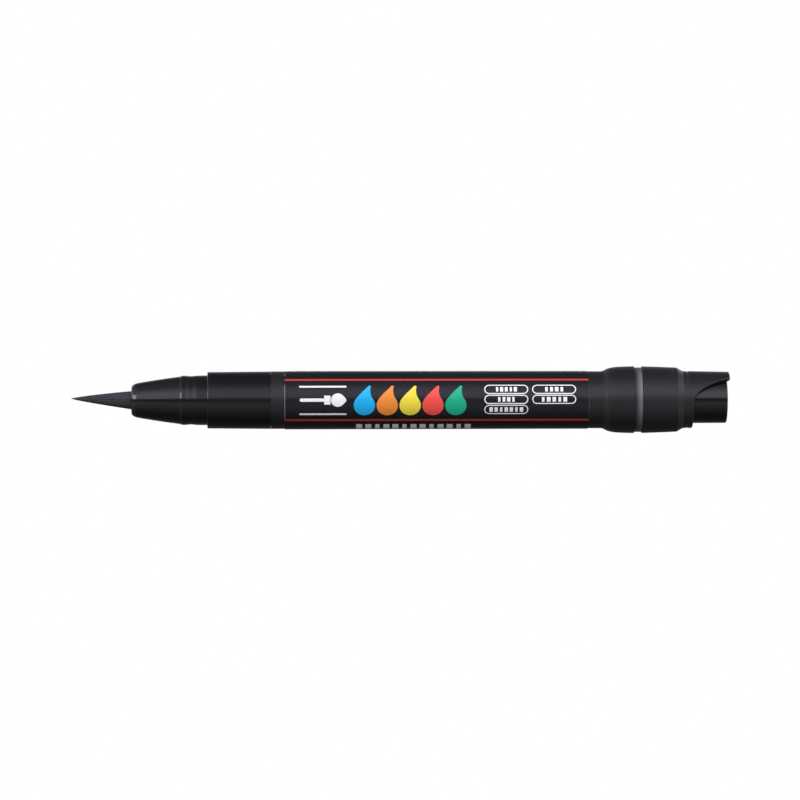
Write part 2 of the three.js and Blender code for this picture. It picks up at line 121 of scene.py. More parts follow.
def arc_steps(corner_before, corner, corner_after, radius, steps):
    """Points that round a corner of an outline, with a support point on each side of them."""
    here = Vector(corner)
    back = Vector(corner_before) - here
    ahead = Vector(corner_after) - here
    turn = back.angle(ahead, math.pi)
    if turn > NEARLY_STRAIGHT:
        return [tuple(here)]
    room = ROUNDING_SHARE * min(back.length, ahead.length)
    reach = min(radius / math.tan(turn / 2), room)
    start = here + back.normalized() * reach
    end = here + ahead.normalized() * reach
    points = [tuple(start.lerp(here, t).lerp(here.lerp(end, t), t)) for t in shares(steps)]
    support = STAND_OFF[0] * reach + STAND_OFF[1]
    if back.length - reach > 3 * support:
        points.insert(0, tuple(here + back.normalized() * (reach + support)))
    if ahead.length - reach > 3 * support:
        points.append(tuple(here + ahead.normalized() * (reach + support)))
    return points


def softened(outline, steps=4, closed=True):
    """An outline whose corners are rounded: each point is (x, radius) or (x, radius, rounding)."""
    count = len(outline)
    points = []
    for i, corner in enumerate(outline):
        rounding = corner[2] if len(corner) > 2 else 0
        inside = closed or 0 < i < count - 1
        if rounding and inside:
            before, after = outline[i - 1][:2], outline[(i + 1) % count][:2]
            points += arc_steps(before, corner[:2], after, rounding, steps)
        else:
            points.append(tuple(corner[:2]))
    return points


def smooth_run(points, per_span=6):
    """A Catmull-Rom curve through a few outline points."""
    ends = [points[0], *points, points[-1]]
    run = []
    for a, b, c, d in zip(ends, ends[1:], ends[2:], ends[3:]):
        for t in shares(per_span)[:-1]:
            weights = (
                -0.5 * t + t * t - 0.5 * t**3,
                1 - 2.5 * t * t + 1.5 * t**3,
                0.5 * t + 2 * t * t - 1.5 * t**3,
                -0.5 * t * t + 0.5 * t**3,
            )
            run.append(tuple(sum(w * p[k] for w, p in zip(weights, (a, b, c, d))) for k in (0, 1)))
    run.append(tuple(points[-1][:2]))
    return run


# ---- meshes


def on_axis(x, radius, angle):
    """A point at a station, a radius and an angle that runs from the camera's side (-Y) up to +Z."""
    return (x * MM, -radius * math.cos(angle) * MM, radius * math.sin(angle) * MM)


def placed(name, data):
    """A new object in the scene."""
    made = bpy.data.objects.new(name, data)
    bpy.context.scene.collection.objects.link(made)
    return made


def mesh_object(name, vertices, faces, material, crease=CREASE):
    """A closed mesh as a piece, with its faces turned outwards."""
    mesh = bpy.data.meshes.new(name)
    mesh.from_pydata(vertices, [], faces)
    mesh.validate()
    shape = bmesh.new()
    shape.from_mesh(mesh)
    bmesh.ops.recalc_face_normals(shape, faces=shape.faces)
    shape.to_mesh(mesh)
    shape.free()
    mesh.polygons.foreach_set("use_smooth", [True] * len(mesh.polygons))
    if crease:
        mesh.set_sharp_from_angle(angle=crease)
    mesh.materials.append(material)
    return placed(name, mesh)


class Skins:
    """Closed skins over rows of loops, gathered into one mesh."""

    def __init__(self):
        self.vertices, self.faces = [], []

    def add(self, loops, ring=False):
        """A skin over loops of one length. ring joins the last to the first, or else both get caps."""
        start, size, count = len(self.vertices), len(loops[0]), len(loops)
        for loop in loops:
            self.vertices.extend(loop)
        for i in range(count if ring else count - 1):
            a, b = start + i * size, start + (i + 1) % count * size
            for j in range(size):
                k = (j + 1) % size
                self.faces.append((a + j, a + k, b + k, b + j))
        if not ring:
            end = start + (count - 1) * size
            self.faces.append(tuple(range(start, start + size)))
            self.faces.append(tuple(end + j for j in reversed(range(size))))


def loft(name, loops, material, ring=True):
    """A piece made of one skin."""
    skins = Skins()
    skins.add(loops, ring)
    return mesh_object(name, skins.vertices, skins.faces, material)


def turned(name, outline, material, sides=FINE):
    """A closed outline turned round the pen's axis."""
    loops = [[on_axis(x, radius, angle) for x, radius in outline] for angle in around(sides)]
    return loft(name, loops, material)


def turned_solid(name, outline, material, sides=FINE):
    """An outline that starts and ends on the axis, turned round it."""
    vertices = [(outline[0][0] * MM, 0, 0), (outline[-1][0] * MM, 0, 0)]
    inner = outline[1:-1]
    for angle in around(sides):
        vertices += [on_axis(x, radius, angle) for x, radius in inner]
    size = len(inner)
    faces = []
    for i in range(sides):
        a, b = 2 + i * size, 2 + (i + 1) % sides * size
        faces.append((0, a, b))
        faces.append((1, b + size - 1, a + size - 1))
        faces += [(a + j, a + j + 1, b + j + 1, b + j) for j in range(size - 1)]
    return mesh_object(name, vertices, faces, material)


def settle(piece, body, node):
    """The piece rides on a body and stands for a CAD node, which is hidden."""
    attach(piece, body)
    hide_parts(node)


def shell(name, node, outline, material, steps=4):
    """An outer shell, turned from an outline with roundings."""
    settle(turned(name, softened(outline, steps), material), BODY, node)


# ---- materials


def feed(node, inputs):
    """Links a node's inputs to sockets, or sets them to values."""
    for name, value in inputs.items():
        if isinstance(value, bpy.types.NodeSocket):
            node.id_data.links.new(value, node.inputs[name])
        else:
            node.inputs[name].default_value = value


def add(tree, kind, inputs=None, **settings):
    """A new node with its settings and its inputs."""
    made = tree.nodes.new(kind)
    for name, value in settings.items():
        setattr(made, name, value)
    feed(made, inputs or {})
    return made


def blank(name):
    """A material with one Principled shader, and its tree."""
    material = bpy.data.materials.new(name)
    material.use_nodes = True
    tree = material.node_tree
    shader = next(n for n in tree.nodes if n.type == "BSDF_PRINCIPLED")
    return material, tree, shader


def place_of(tree, stretch=(1, 1, 1)):
    """The place on the object, stretched along each axis."""
    coordinates = add(tree, "ShaderNodeTexCoord").outputs["Object"]
    return add(tree, "ShaderNodeMapping", {"Vector": coordinates, "Scale": stretch}).outputs[0]


def noise(tree, place, scale, detail=3.0, rough=0.5):
    """Cloudy noise, mostly between 0.3 and 0.7."""
    inputs = {"Vector": place, "Scale": scale, "Detail": detail, "Roughness": rough}
    return add(tree, "ShaderNodeTexNoise", inputs).outputs["Fac"]


def spread(tree, value, low, high, start=0.3, end=0.7):
    """A value that runs from start to end, spread between low and high."""
    inputs = {"Value": value, "From Min": start, "From Max": end, "To Min": low, "To Max": high}
    return add(tree, "ShaderNodeMapRange", inputs).outputs[0]


def between(tree, factor, low, high):
    """A colour between two, which are sockets or colours."""
    low, high = ((*c, 1) if isinstance(c, tuple) else c for c in (low, high))
    return add(tree, "ShaderNodeMix", {0: factor, 6: low, 7: high}, data_type="RGBA").outputs[2]


def bump(tree, height, distance):
    """Normals for a relief that is distance deep, in metres."""
    inputs = {"Height": height, "Distance": distance, "Strength": 1.0}
    return add(tree, "ShaderNodeBump", inputs).outputs[0]


def tint(colour, share):
    """A colour made brighter or darker."""
    return tuple(c * share for c in colour)


CLOUD_SCALE = 90.0


def moulded(name, colour, roughness, grain, depth, specular=0.5, vary=0.25):
    """Moulded plastic: a soft cloud in colour and gloss, and a fine grain off the mould's steel."""
    material, tree, shader = blank(name)
    place = place_of(tree)
    cloud = noise(tree, place, CLOUD_SCALE, detail=5.0)
    speck = noise(tree, place, grain, detail=2.0)
    feed(shader, {
        "Base Color": between(tree, cloud, tint(colour, 1 - vary), tint(colour, 1 + vary)),
        "Roughness": spread(tree, cloud, roughness * 0.93, roughness * 1.08),
        "Normal": bump(tree, speck, depth),
        "Specular IOR Level": specular,
    })
    return material


def make_materials():
    """Every material of the pen, by its slot, the tail's own, and the print's by colour."""
    made = {
        "gloss_shell": moulded("gloss_black", (0.006, 0.006, 0.0065), 0.13, 700.0, 0.000002),
        "satin_shell": moulded("satin_black", (0.004, 0.0048, 0.0055), 0.19, 1800.0, 0.000003),
        "matte_shell": moulded("matte_black", (0.0085, 0.0082, 0.0092), 0.38, 3200.0, 0.00001),
        "tail_shell": moulded("matte_black_tail", (0.0085, 0.0082, 0.0092), 0.37, 3000.0, 0.00001),
        "inner_plastic": moulded("natural_white", (0.62, 0.62, 0.59), 0.42, 900.0, 0.00001, vary=0.06),
        "seal_rubber": moulded("black_rubber", (0.02, 0.02, 0.02), 0.75, 2400.0, 0.00002),
        "label_film": moulded("label_film", (0.0055, 0.007, 0.0086), 0.26, 500.0, 0.000003, specular=0.42),
        "smoke_ring": smoke(),
        "tuft": bristle(),
        "spring_steel": steel("spring_wire", 0.24, (0.55, 0.56, 0.58)),
        "ball_steel": steel("ball_steel", 0.1, (0.62, 0.63, 0.65)),
    }
    for name, colour in PRINT_COLOURS.items():
        made[name] = printed(f"print_{name}", colour)
    return made


FRONT_SHADE_SPAN = (0.35, 1.15)  # where the ring's painted shade at its front gives way to its own grey, measured from its front face


def smoke():
    """Translucent smoke-grey plastic, with painted shade in its colour. It is darker at the front, in place
    of the dark wall that would show through it there, and darker where its surface turns away from view.
    """
    material, tree, shader = blank("smoke_ring")
    coordinates = add(tree, "ShaderNodeTexCoord").outputs["Object"]
    along = add(tree, "ShaderNodeSeparateXYZ", {"Vector": coordinates}).outputs["X"]
    start, end = ((RING_FRONT + place) * MM for place in FRONT_SHADE_SPAN)
    lit = spread(tree, along, 0.0, 1.0, start, end)
    cloud = noise(tree, place_of(tree), 300.0, detail=4.0)
    # painted shade: the darker grey that stands in at the ring's front for the dark wall showing through it
    dark = between(tree, cloud, (0.034, 0.041, 0.048), (0.047, 0.055, 0.064))
    light = between(tree, cloud, (0.118, 0.132, 0.13), (0.148, 0.164, 0.162))
    facing = add(tree, "ShaderNodeLayerWeight", {"Blend": 0.5}).outputs["Facing"]
    across = between(tree, lit, dark, light)
    # painted shade: the colour darkens to a near-black grey where the surface turns away from view, as at
    # the ring's top and bottom
    painted_slant_shade = spread(tree, facing, 0.0, 1.0, 0.1, 0.9)
    feed(shader, {
        "Base Color": between(tree, painted_slant_shade, across, (0.035, 0.039, 0.042)),
        "Roughness": spread(tree, cloud, 0.2, 0.3),
        "Subsurface Weight": 0.25,
        "Subsurface Radius": (1.0, 1.0, 1.1),
        "Subsurface Scale": 0.0006,
    })
    return material


def bristle():
    """Black nylon filaments, with long streaks that follow them."""
    material, tree, shader = blank("tuft_black")
    streaks = noise(tree, place_of(tree, (1, 14, 14)), 420.0, rough=0.6)
    along = noise(tree, place_of(tree), 160.0, detail=2.0)
    mixed = between(tree, along, (0.013, 0.0145, 0.018), (0.02, 0.022, 0.027))
    feed(shader, {
        "Base Color": between(tree, streaks, mixed, (0.034, 0.036, 0.042)),
        "Roughness": spread(tree, streaks, 0.36, 0.56),
        "Specular IOR Level": 0.55,
    })
    return material


def steel(name, roughness, colour):
    """Drawn or ground steel."""
    material, tree, shader = blank(name)
    drawn = noise(tree, place_of(tree, (1, 6, 6)), 900.0, detail=4.0)
    feed(shader, {
        "Base Color": between(tree, drawn, tint(colour, 0.8), tint(colour, 1.1)),
        "Roughness": spread(tree, drawn, roughness * 0.8, roughness * 1.3),
        "Normal": bump(tree, drawn, 0.000003),
        "Metallic": 1.0,
    })
    return material


def printed(name, colour):
    """Ink on the label: nearly even, with the slight mottle of a screen print."""
    material, tree, shader = blank(name)
    mottle = noise(tree, place_of(tree), 1500.0, detail=4.0)
    feed(shader, {
        "Base Color": between(tree, mottle, tint(colour, 0.9), tint(colour, 1.04)),
        "Roughness": spread(tree, mottle, 0.3, 0.38),
    })
    return material


PRINT_COLOURS = {
    "crimson": (0.47, 0.04, 0.025),
    "red": (0.82, 0.075, 0.055),
    "blue": (0.0, 0.42, 0.8),
    "green": (0.0, 0.4, 0.22),
    "yellow": (0.82, 0.7, 0.05),
    "orange": (0.82, 0.25, 0.03),
    "white": (0.85, 0.85, 0.84),
    "silver": (0.8, 0.82, 0.83),
}


# ---- casings

NOSE_MOUTH = 2.8
NOSE_BORE = 4.9
NOSE_REAR = -46.8  # where the nose goes down to its threaded skirt, inside the collar
SKIRT = 5.9
FERRULE_ROOM = (-66.4, -58.05, 3.5)  # the narrow bore round the ferrule: its ends and its radius
NOSE_BROW = [(-68.5, 3.36), (-68.41, 3.62), (-68.07, 3.95), (-67.4, 4.28), (-66.3, 4.53)]
CONE_END = (-56.35, 6.035)
CONE_BULGE = 0.06
BEAD_RISE = [(-56.22, 6.048), (-55.99, 6.115), (-55.78, 6.225)]
BEAD_BROW = (-55.74, 6.25, 0.04)
BEAD = [
    (-55.55, 6.268), (-55.1, 6.287), (-54.7, 6.28), (-54.3, 6.235), (-53.95, 6.19), (-53.5, 6.165),
    (-53.1, 6.175), (-52.55, 6.225), (-52.1, 6.28), (-51.6, 6.302), (-49.2, 6.335),
]


def nose_cone(material):
    """The glossy nose: rounded front, slim cone, snap bead for the cap, waist and rear cylinder."""
    outline = [(NOSE.x0, NOSE_MOUTH + 0.02), (NOSE.x0, NOSE_BROW[0][1] - 0.25)]
    outline += smooth_run(NOSE_BROW)
    start = NOSE_BROW[-1]
    for t in shares(12)[1:]:
        straight = start[1] + (CONE_END[1] - start[1]) * t
        outline.append((start[0] + (CONE_END[0] - start[0]) * t, straight + 4 * CONE_BULGE * t * (1 - t)))
    outline += smooth_run(BEAD_RISE)
    outline.append(BEAD_BROW)
    outline += smooth_run(BEAD)
    room_front, room_back, room = FERRULE_ROOM
    outline += [
        (NOSE_REAR, BEAD[-1][1], 0.1), (NOSE_REAR, SKIRT, 0.05), (NOSE.x1, SKIRT, 0.1),
        (NOSE.x1, NOSE_BORE, 0.1), (room_back, NOSE_BORE, 0.05), (room_back, room, 0.1),
        (room_front, room, 0.05), (room_front, NOSE_MOUTH, 0.1), (NOSE.x0 + 0.5, NOSE_MOUTH, 0.2),
    ]
    shell("nose_shell", "nose_cone", outline, material)


TUBE_RADIUS = 7.32  # where the collar meets the barrel
COLLAR_SPIGOT = (6.55, 4.4)  # the radius and the bore of the collar's part inside the barrel
THREAD_BORE = 5.95
MOUTH_BORE = 6.37
SPIGOT_STEP = -36


def front_collar(material):
    """The satin collar, with its hidden spigot inside the barrel."""
    thread_front = NOSE_REAR + 0.05
    outline = [
        (COLLAR.x0, 7.2, 0.55), (-46, 7.21), (-40, 7.27), (COLLAR_BACK, TUBE_RADIUS, 0.03),
        (COLLAR_BACK, COLLAR_SPIGOT[0], 0.05), (COLLAR.x1, COLLAR_SPIGOT[0], 0.15),
        (COLLAR.x1, COLLAR_SPIGOT[1], 0.1), (SPIGOT_STEP, COLLAR_SPIGOT[1], 0.05),
        (SPIGOT_STEP, THREAD_BORE, 0.05), (thread_front, THREAD_BORE, 0.05),
        (thread_front, MOUTH_BORE, 0.05), (COLLAR.x0, MOUTH_BORE, 0.06),
    ]
    shell("collar_shell", "front_collar", outline, material)


TANK_RADIUS = 6.2
SPIGOT_BORE = 6.6  # round the collar's spigot
RING_SEAT = (53.5, 7.3)  # the socket at the barrel's back: its front end and its radius
FLARE = [(51.2, 7.27), (51.83, 7.45), (52.6, 7.84), (53.4, 8.11), (54.9, 8.36), (57.0, 8.475)]


def barrel(material):
    """The matt barrel: slightly drafted tube, then the flare up to the thick tail end."""
    outline = [(BARREL.x0, TUBE_RADIUS, 0.03), (0, 7.3)]
    outline += smooth_run(FLARE)
    spigot_end = COLLAR.x1 + 0.05
    outline += [
        (BARREL.x1, 8.54, 0.16), (BARREL.x1, RING_SEAT[1], 0.06), (RING_SEAT[0], RING_SEAT[1], 0.1),
        (RING_SEAT[0], TANK_RADIUS, 0.1), (spigot_end, TANK_RADIUS, 0.05),
        (spigot_end, SPIGOT_BORE, 0.05), (BARREL.x0, SPIGOT_BORE, 0.1),
    ]
    shell("barrel_shell", "barrel", outline, material, 5)


RING_GAP = 0.08  # between the ring and its neighbours
RING_FRONT = BARREL.x1 + RING_GAP
RING_BACK = TAIL.x0 - RING_GAP
RING_RADIUS = 8.24
RING_SPIGOTS = (7.2, 7.0)  # the radii of the ring's parts inside the barrel and inside the tail
RING_BORE = 6.05


def clear_ring(material):
    """The smoke-grey ring, a little lower than its neighbours, with a spigot into each."""
    outline = [
        (RING.x0, RING_SPIGOTS[0], 0.1), (RING_FRONT, RING_SPIGOTS[0], 0.04),
        (RING_FRONT, RING_RADIUS, 0.1), (RING_BACK, RING_RADIUS, 0.1),
        (RING_BACK, RING_SPIGOTS[1], 0.04), (RING.x1, RING_SPIGOTS[1], 0.1),
        (RING.x1, RING_BORE, 0.1), (RING.x0, RING_BORE, 0.1),
    ]
    shell("smoke_ring", "clear_ring", outline, material)


TAIL_BORES = (7.1, 6.7)  # round the ring's spigot and, behind it, round the button
TAIL_STEP = 64.1


def tail_housing(material):
    """The matt tail: a gentle taper, a bevel, and a short neck."""
    outline = [
        (TAIL.x0, 8.52, 0.14), (65.5, 8.4), (70.5, 8.2, 0.5), (72.1, 7.29, 0.3), (72.9, 7.25, 0.15),
        (TAIL.x1, 7.12, 0.03), (TAIL.x1, TAIL_BORES[1], 0.05), (TAIL_STEP, TAIL_BORES[1], 0.05),
        (TAIL_STEP, TAIL_BORES[0], 0.05), (TAIL.x0, TAIL_BORES[0], 0.08),
    ]
    shell("tail_shell", "tail_housing", outline, material, 5)


BUTTON_BORE = 4.9
BUTTON_BOSS = (72.5, 1.8)  # the front end and the radius of the boss that holds the rod
BUTTON_FLANGE = (69.3, 6.55)  # the back and the radius of the flange that stops the button
BUTTON_FLOOR = 81.6
DISHED = 0.02  # how much lower the middle of the end face is
ROD_SOCKET = (77, 0.95)


def push_button(material):
    """The glossy button: a cup with a stop flange, and the boss that holds the rod."""
    outline = [
        (ROD_SOCKET[0], 0), (*ROD_SOCKET, 0.05), (BUTTON_BOSS[0], ROD_SOCKET[1], 0.05),
        (*BUTTON_BOSS, 0.1), (BUTTON_FLOOR, BUTTON_BOSS[1], 0.1), (BUTTON_FLOOR, BUTTON_BORE, 0.2),
        (BUTTON.x0, BUTTON_BORE, 0.1), (BUTTON.x0, BUTTON_FLANGE[1], 0.1), (*BUTTON_FLANGE, 0.1),
        (BUTTON_FLANGE[0], 6.02, 0.05), (BUTTON.x1, 5.97, 0.42), (BUTTON.x1 - DISHED, 3.0),
        (BUTTON.x1 - DISHED, 0),
    ]
    piece = turned_solid("button_cap", softened(outline, 5, closed=False), material)
    settle(piece, "button", "push_button")


# ---- the shroud

SHROUD_FRONT = TAIL.x1 + 0.015
SHROUD_RADII = (7.28, 7.1)  # at its front and at the end of the tongue
SHROUD_BORE = 6.15
SHROUD_SPIGOT = 6.65
CUT_CURVE = [  # the cut's (x, z) points from the top of its straight part to the tongue's corner
    (74.5, -0.9), (74.8, 0.2), (75.55, 1.5), (76.65, 2.5), (77.85, 3.3), (79.3, 4.08), (81.0, 4.75),
    (82.7, 5.2),
]
SHROUD_EDGE = 0.32  # rounding of the cut edge
SHROUD_DEPTH = SHROUD_EDGE + 0.2  # how far from the cut edge the plain part of the wall begins
# The rounding at its front: how far behind the front end, and how far below the surface.
FRONT_ROUNDING = ((0, 0.15), (0.02, 0.12), (0.07, 0.08), (0.16, 0.03), (0.26, 0.01), (0.38, 0))
PLAIN_FROM = 0.42  # where the plain surface begins, behind the front end
PLAIN_SHARES = (0.12, 0.4, 0.7, 1)  # where its points lie on the way to the cut edge's rounding
# The cut edge's inner rounding: how far from the cut, and how far outside the bore.
BORE_ROUNDING = ((0, 0.1), (0.03, 0.03), (0.1, 0))


def cut_curve():
    """The edge of the shroud on the camera's side, from the bottom to the top, as (x, angle) points."""
    bottom, top = -math.pi / 2, math.pi / 2
    curve = [(x, math.asin(z / SHROUD_RADII[1])) for x, z in smooth_run(CUT_CURVE)]
    first, last = curve[0], curve[-1]
    points = [(first[0], bottom + (first[1] - bottom) * t) for t in shares(22)[:-1]]
    points += curve
    reach = SHROUD.x1 - last[0]
    turn = reach / SHROUD_RADII[1]
    for t in shares(10)[1:]:
        angle = t * math.pi / 2
        points.append((last[0] + reach * math.sin(angle), last[1] + turn * (1 - math.cos(angle))))
    start = points[-1][1]
    return points + [(SHROUD.x1, start + (top - start) * t) for t in shares(12)[1:-1]]


def shroud_loop(x, angle, inward):
    """One loop of the shroud's wall: out along its outside, round the cut edge, and back inside."""
    def at(offset, radius, station=None):
        px = station if station is not None else x + inward[0] * offset
        pa = angle + inward[1] * offset / SHROUD_RADII[1]
        return on_axis(px, radius, pa)

    def outer(px):
        share = (px - SHROUD_FRONT) / (SHROUD.x1 - SHROUD_FRONT)
        return SHROUD_RADII[0] + (SHROUD_RADII[1] - SHROUD_RADII[0]) * share

    edge, deep = SHROUD_EDGE, SHROUD_DEPTH
    loop = [at(deep, SHROUD_SPIGOT, px) for px in (SHROUD.x0 + 0.1, SHROUD_FRONT)]
    for behind, below in FRONT_ROUNDING:
        loop.append(at(deep, SHROUD_RADII[0] - below, SHROUD_FRONT + behind))
    plain_end = x + inward[0] * deep
    for share in PLAIN_SHARES:
        px = SHROUD_FRONT + PLAIN_FROM + (plain_end - SHROUD_FRONT - PLAIN_FROM) * share
        loop.append(at(deep, outer(px), px))
    surface = outer(x)
    for t in shares(5):
        turn = t * math.pi / 2
        loop.append(at(edge * (1 - math.sin(turn)), surface - edge * (1 - math.cos(turn))))
    for offset, above in BORE_ROUNDING:
        loop.append(at(offset, SHROUD_BORE + above))
    loop.append(at(deep, SHROUD_BORE))
    loop.append(at(deep, SHROUD_BORE, SHROUD.x0))
    loop.append(at(deep, SHROUD_SPIGOT - 0.1, SHROUD.x0))
    return loop


def button_shroud(material):
    """The guard: a short ring that runs out into a tongue over the button."""
    half = cut_curve()
    mirrored = [(x, math.pi - angle) for x, angle in reversed(half[1:])]
    edge = half + [(SHROUD.x1, math.pi / 2)] + mirrored
    count = len(edge)
    loops = []
    for i, (x, angle) in enumerate(edge):
        before, after = edge[i - 1], edge[(i + 1) % count]
        step = (after[1] - before[1] + math.pi) % (2 * math.pi) - math.pi
        along = Vector((after[0] - before[0], step * SHROUD_RADII[1])).normalized()
        loops.append(shroud_loop(x, angle, (-along.y, along.x)))
    piece = loft("shroud_shell", loops, material)
    settle(piece, BODY, "button_shroud")


# ---- the label and its print

LABEL_RADII = (7.46, 7.41)
FILM = 0.1
FILM_EDGE = 0.045
LABEL_START = math.radians(79)  # the film's first end, above the middle of the printed side
LABEL_WRAP = math.radians(357)
LABEL_CORNER = 3.0
EDGE_HIGHLIGHT_BAND = (math.radians(-38), math.radians(32))  # where the cut edge is painted pale across the front, as a painted highlight


def label_radius(x):
    """The radius of the film's surface, which tapers a little to the back."""
    share = (x - LABEL.x0) / (LABEL.x1 - LABEL.x0)
    return LABEL_RADII[0] + (LABEL_RADII[1] - LABEL_RADII[0]) * share


def label(material, pale):
    """The film, wrapped once round the barrel, with rounded corners and a cut edge painted pale: all along
    its corners, and across the front as a painted highlight.
    """
    girth = LABEL_RADII[0] * LABEL_WRAP
    loops, pale_and_highlit_rows = [], []
    places = [LABEL_CORNER * (1 - math.cos(t * math.pi / 2)) for t in shares(16)[:-1]]
    middle = girth - 2 * LABEL_CORNER
    ahead = places + [LABEL_CORNER + middle * t for t in shares(150)[:-1]]
    ahead += [girth - LABEL_CORNER] + [girth - place for place in reversed(places)]
    for place in ahead:
        reach = max(0, LABEL_CORNER - min(place, girth - place))
        inset = LABEL_CORNER - math.sqrt(LABEL_CORNER**2 - reach**2)
        x0, x1 = LABEL.x0 + inset, LABEL.x1 - inset
        angle = LABEL_START - place / LABEL_RADII[0]
        # the cut edge is pale along the corners, and across the front it is painted pale as a highlight
        pale_and_highlit_rows.append(inset > 0 or EDGE_HIGHLIGHT_BAND[0] < angle < EDGE_HIGHLIGHT_BAND[1])
        r0, r1 = label_radius(x0), label_radius(x1)
        soft = FILM_EDGE
        loop = [(x0, r0 - FILM), (x0, r0 - soft), (x0 + 0.3 * soft, r0 - 0.3 * soft), (x0 + soft, r0)]
        loop += [(x0 + 3 * soft, r0), (x1 - 3 * soft, r1), (x1 - soft, r1)]
        loop += [(x1 - 0.3 * soft, r1 - 0.3 * soft), (x1, r1 - soft), (x1, r1 - FILM)]
        loops.append([on_axis(x, radius, angle) for x, radius in loop])
    piece = loft("label_wrap", loops, material, ring=False)
    piece.data.materials.append(pale)
    edge_strips = (0, 1, 2, 7, 8)  # the strips between a loop's points that lie on the cut edges
    for polygon in piece.data.polygons:
        row, strip = divmod(polygon.index, len(loops[0]))
        if strip in edge_strips and row < len(pale_and_highlit_rows) and pale_and_highlit_rows[row]:
            polygon.material_index = 1
    settle(piece, BODY, "label")


INK = 0.014  # how far the print stands on the film
BURIED = 0.03
ROW = 0.3  # the tallest row of a patch of print, so that it follows the film's curve


def print_point(x, height, lift):
    """A point on the print: height is measured round the barrel, up from the middle of the front."""
    radius = label_radius(x)
    return on_axis(x, radius + lift, height / radius)


def patch(skins, rows):
    """A filled patch of print. Each row is (height, x of its left end, x of its right end)."""
    fine = [rows[0]]
    for before, after in zip(rows, rows[1:]):
        steps = max(1, math.ceil((after[0] - before[0]) / ROW))
        for i in range(1, steps + 1):
            fine.append(tuple(p + (q - p) * i / steps for p, q in zip(before, after)))
    loops = []
    for height, x0, x1 in fine:
        corners = ((x0, -BURIED), (x0, INK), (x1, INK), (x1, -BURIED))
        loops.append([print_point(x, height, lift) for x, lift in corners])
    skins.add(loops)


def bar(skins, x0, x1, low, high):
    """A plain oblong of print."""
    patch(skins, [(low, x0, x1), (high, x0, x1)])


def outline_of(skins, path, width):
    """A printed line of even width round a closed path of (x, height) points."""
    loops = []
    for i, point in enumerate(path):
        before, after = path[i - 1], path[(i + 1) % len(path)]
        along = Vector((after[0] - before[0], after[1] - before[1])).normalized()
        side = Vector((-along.y, along.x)) * width / 2
        corners = []
        for sign, lift in ((1, -BURIED), (1, INK), (-1, INK), (-1, -BURIED)):
            corners.append(print_point(point[0] + sign * side.x, point[1] + sign * side.y, lift))
        loops.append(corners)
    skins.add(loops, ring=True)


def capsule(x0, x1, y0, y1, steps=12):
    """The outline of a bar with round ends, as (x, height) points."""
    radius = (y1 - y0) / 2
    middle = (y0 + y1) / 2
    path = []
    for centre, start in ((x1 - radius, -90), (x0 + radius, 90)):
        for t in shares(steps):
            angle = math.radians(start + 180 * t)
            path.append((centre + radius * math.cos(angle), middle + radius * math.sin(angle)))
    return path


WITHIN = 0.9998  # keeps the first and last row of a swept shape just inside it


def swept_rows(path, steps=30):
    """Rows of the shape that a round brush leaves: each point of the path is (x, height, radius)."""
    low = min(y - r for x, y, r in path)
    high = max(y + r for x, y, r in path)
    rows = []
    for t in shares(steps):
        share = -math.cos(t * math.pi) * WITHIN
        height = (low + high) / 2 + (high - low) / 2 * share
        spans = [(x, math.sqrt(r * r - (height - y) ** 2)) for x, y, r in path if abs(height - y) < r]
        rows.append((height, min(x - w for x, w in spans), max(x + w for x, w in spans)))
    return rows


RED_LINES = ((5.36, 5.96), (-5.91, -5.29))
RULES = ((3.29, 3.77), (-3.96, -3.48))  # the white lines over and under the brush sign
RULE_ENDS = (-25.8, -13.85)
DROP = {"radius": 2.7, "tip": 0.35, "taper": 1.25, "lean": 1.3, "low": -4.05, "high": 3.8}
DROPS = ("blue", "orange", "yellow", "red", "green")
DROP_ENDS = (-12.0, 16.6)  # the room that the row of paint drops takes
PILL_COLUMNS = ((21.13, 32.32), (33.3, 44.48))
PILL_ROWS = ((1.5, 4.0), (-1.04, 1.3), (-3.74, -1.26))
PILL_BLOCKS = (((5, 5.8), (4, 4.8), (7, 9.0)), ((4, 5.2), (5, 7.0)))  # how many, and over what length
OUTLINE = 0.25
BLOCK_HEIGHT = 1.2
BLOCK_SHARE = 0.6  # how much of its pitch a block takes up
BLOCK_VARIES = 0.13
SIGN_HANDLE = (-25.3, -19.8, 0.42)  # the ends and the radius of a round stroke
SIGN_FERRULE = (-19.5, -17.9, -1.15, 1.15)
SIGN_TUFT = (-16.05, -13.95, 1.7)  # a stroke that narrows to its point
SIGN_TIP = 0.02
PRINT_MARGIN = 0.02  # between the ends of the label and those of the red lines
SMALL_PRINT = {"ends": (-11.7, 18.2), "middle": -8.5, "height": 2.6, "count": 13}


def blocks(skins, x0, x1, middle, height, count):
    """A run of plain upright bars of uneven width, in place of a word."""
    pitch = (x1 - x0) / count
    for i in range(count):
        width = pitch * (BLOCK_SHARE + BLOCK_VARIES * math.sin(2.1 * i + count))
        left = x0 + (i + 0.5) * pitch - width / 2
        bar(skins, left, left + width, middle - height / 2, middle + height / 2)


def brush_sign(skins):
    """A plain brush, lying between the two white rules."""
    start, end, radius = SIGN_HANDLE
    handle = [(start + (end - start) * t, 0, radius) for t in shares(55)]
    patch(skins, swept_rows(handle, 8))
    bar(skins, *SIGN_FERRULE)
    start, end, radius = SIGN_TUFT
    leaf = [(start + (end - start) * t, 0, radius * (1 - t) ** 0.8 + SIGN_TIP) for t in shares(30)]
    patch(skins, swept_rows(leaf, 20))


def drop(skins, x):
    """One leaning drop of paint, round below and drawn out to a point above."""
    radius, tip = DROP["radius"], DROP["tip"]
    start, end = DROP["low"] + radius, DROP["high"] - tip
    path = []
    for t in shares(40):
        place = (x + DROP["lean"] * t * t, start + (end - start) * t)
        path.append((*place, tip + (radius - tip) * (1 - t) ** DROP["taper"]))
    patch(skins, swept_rows(path))


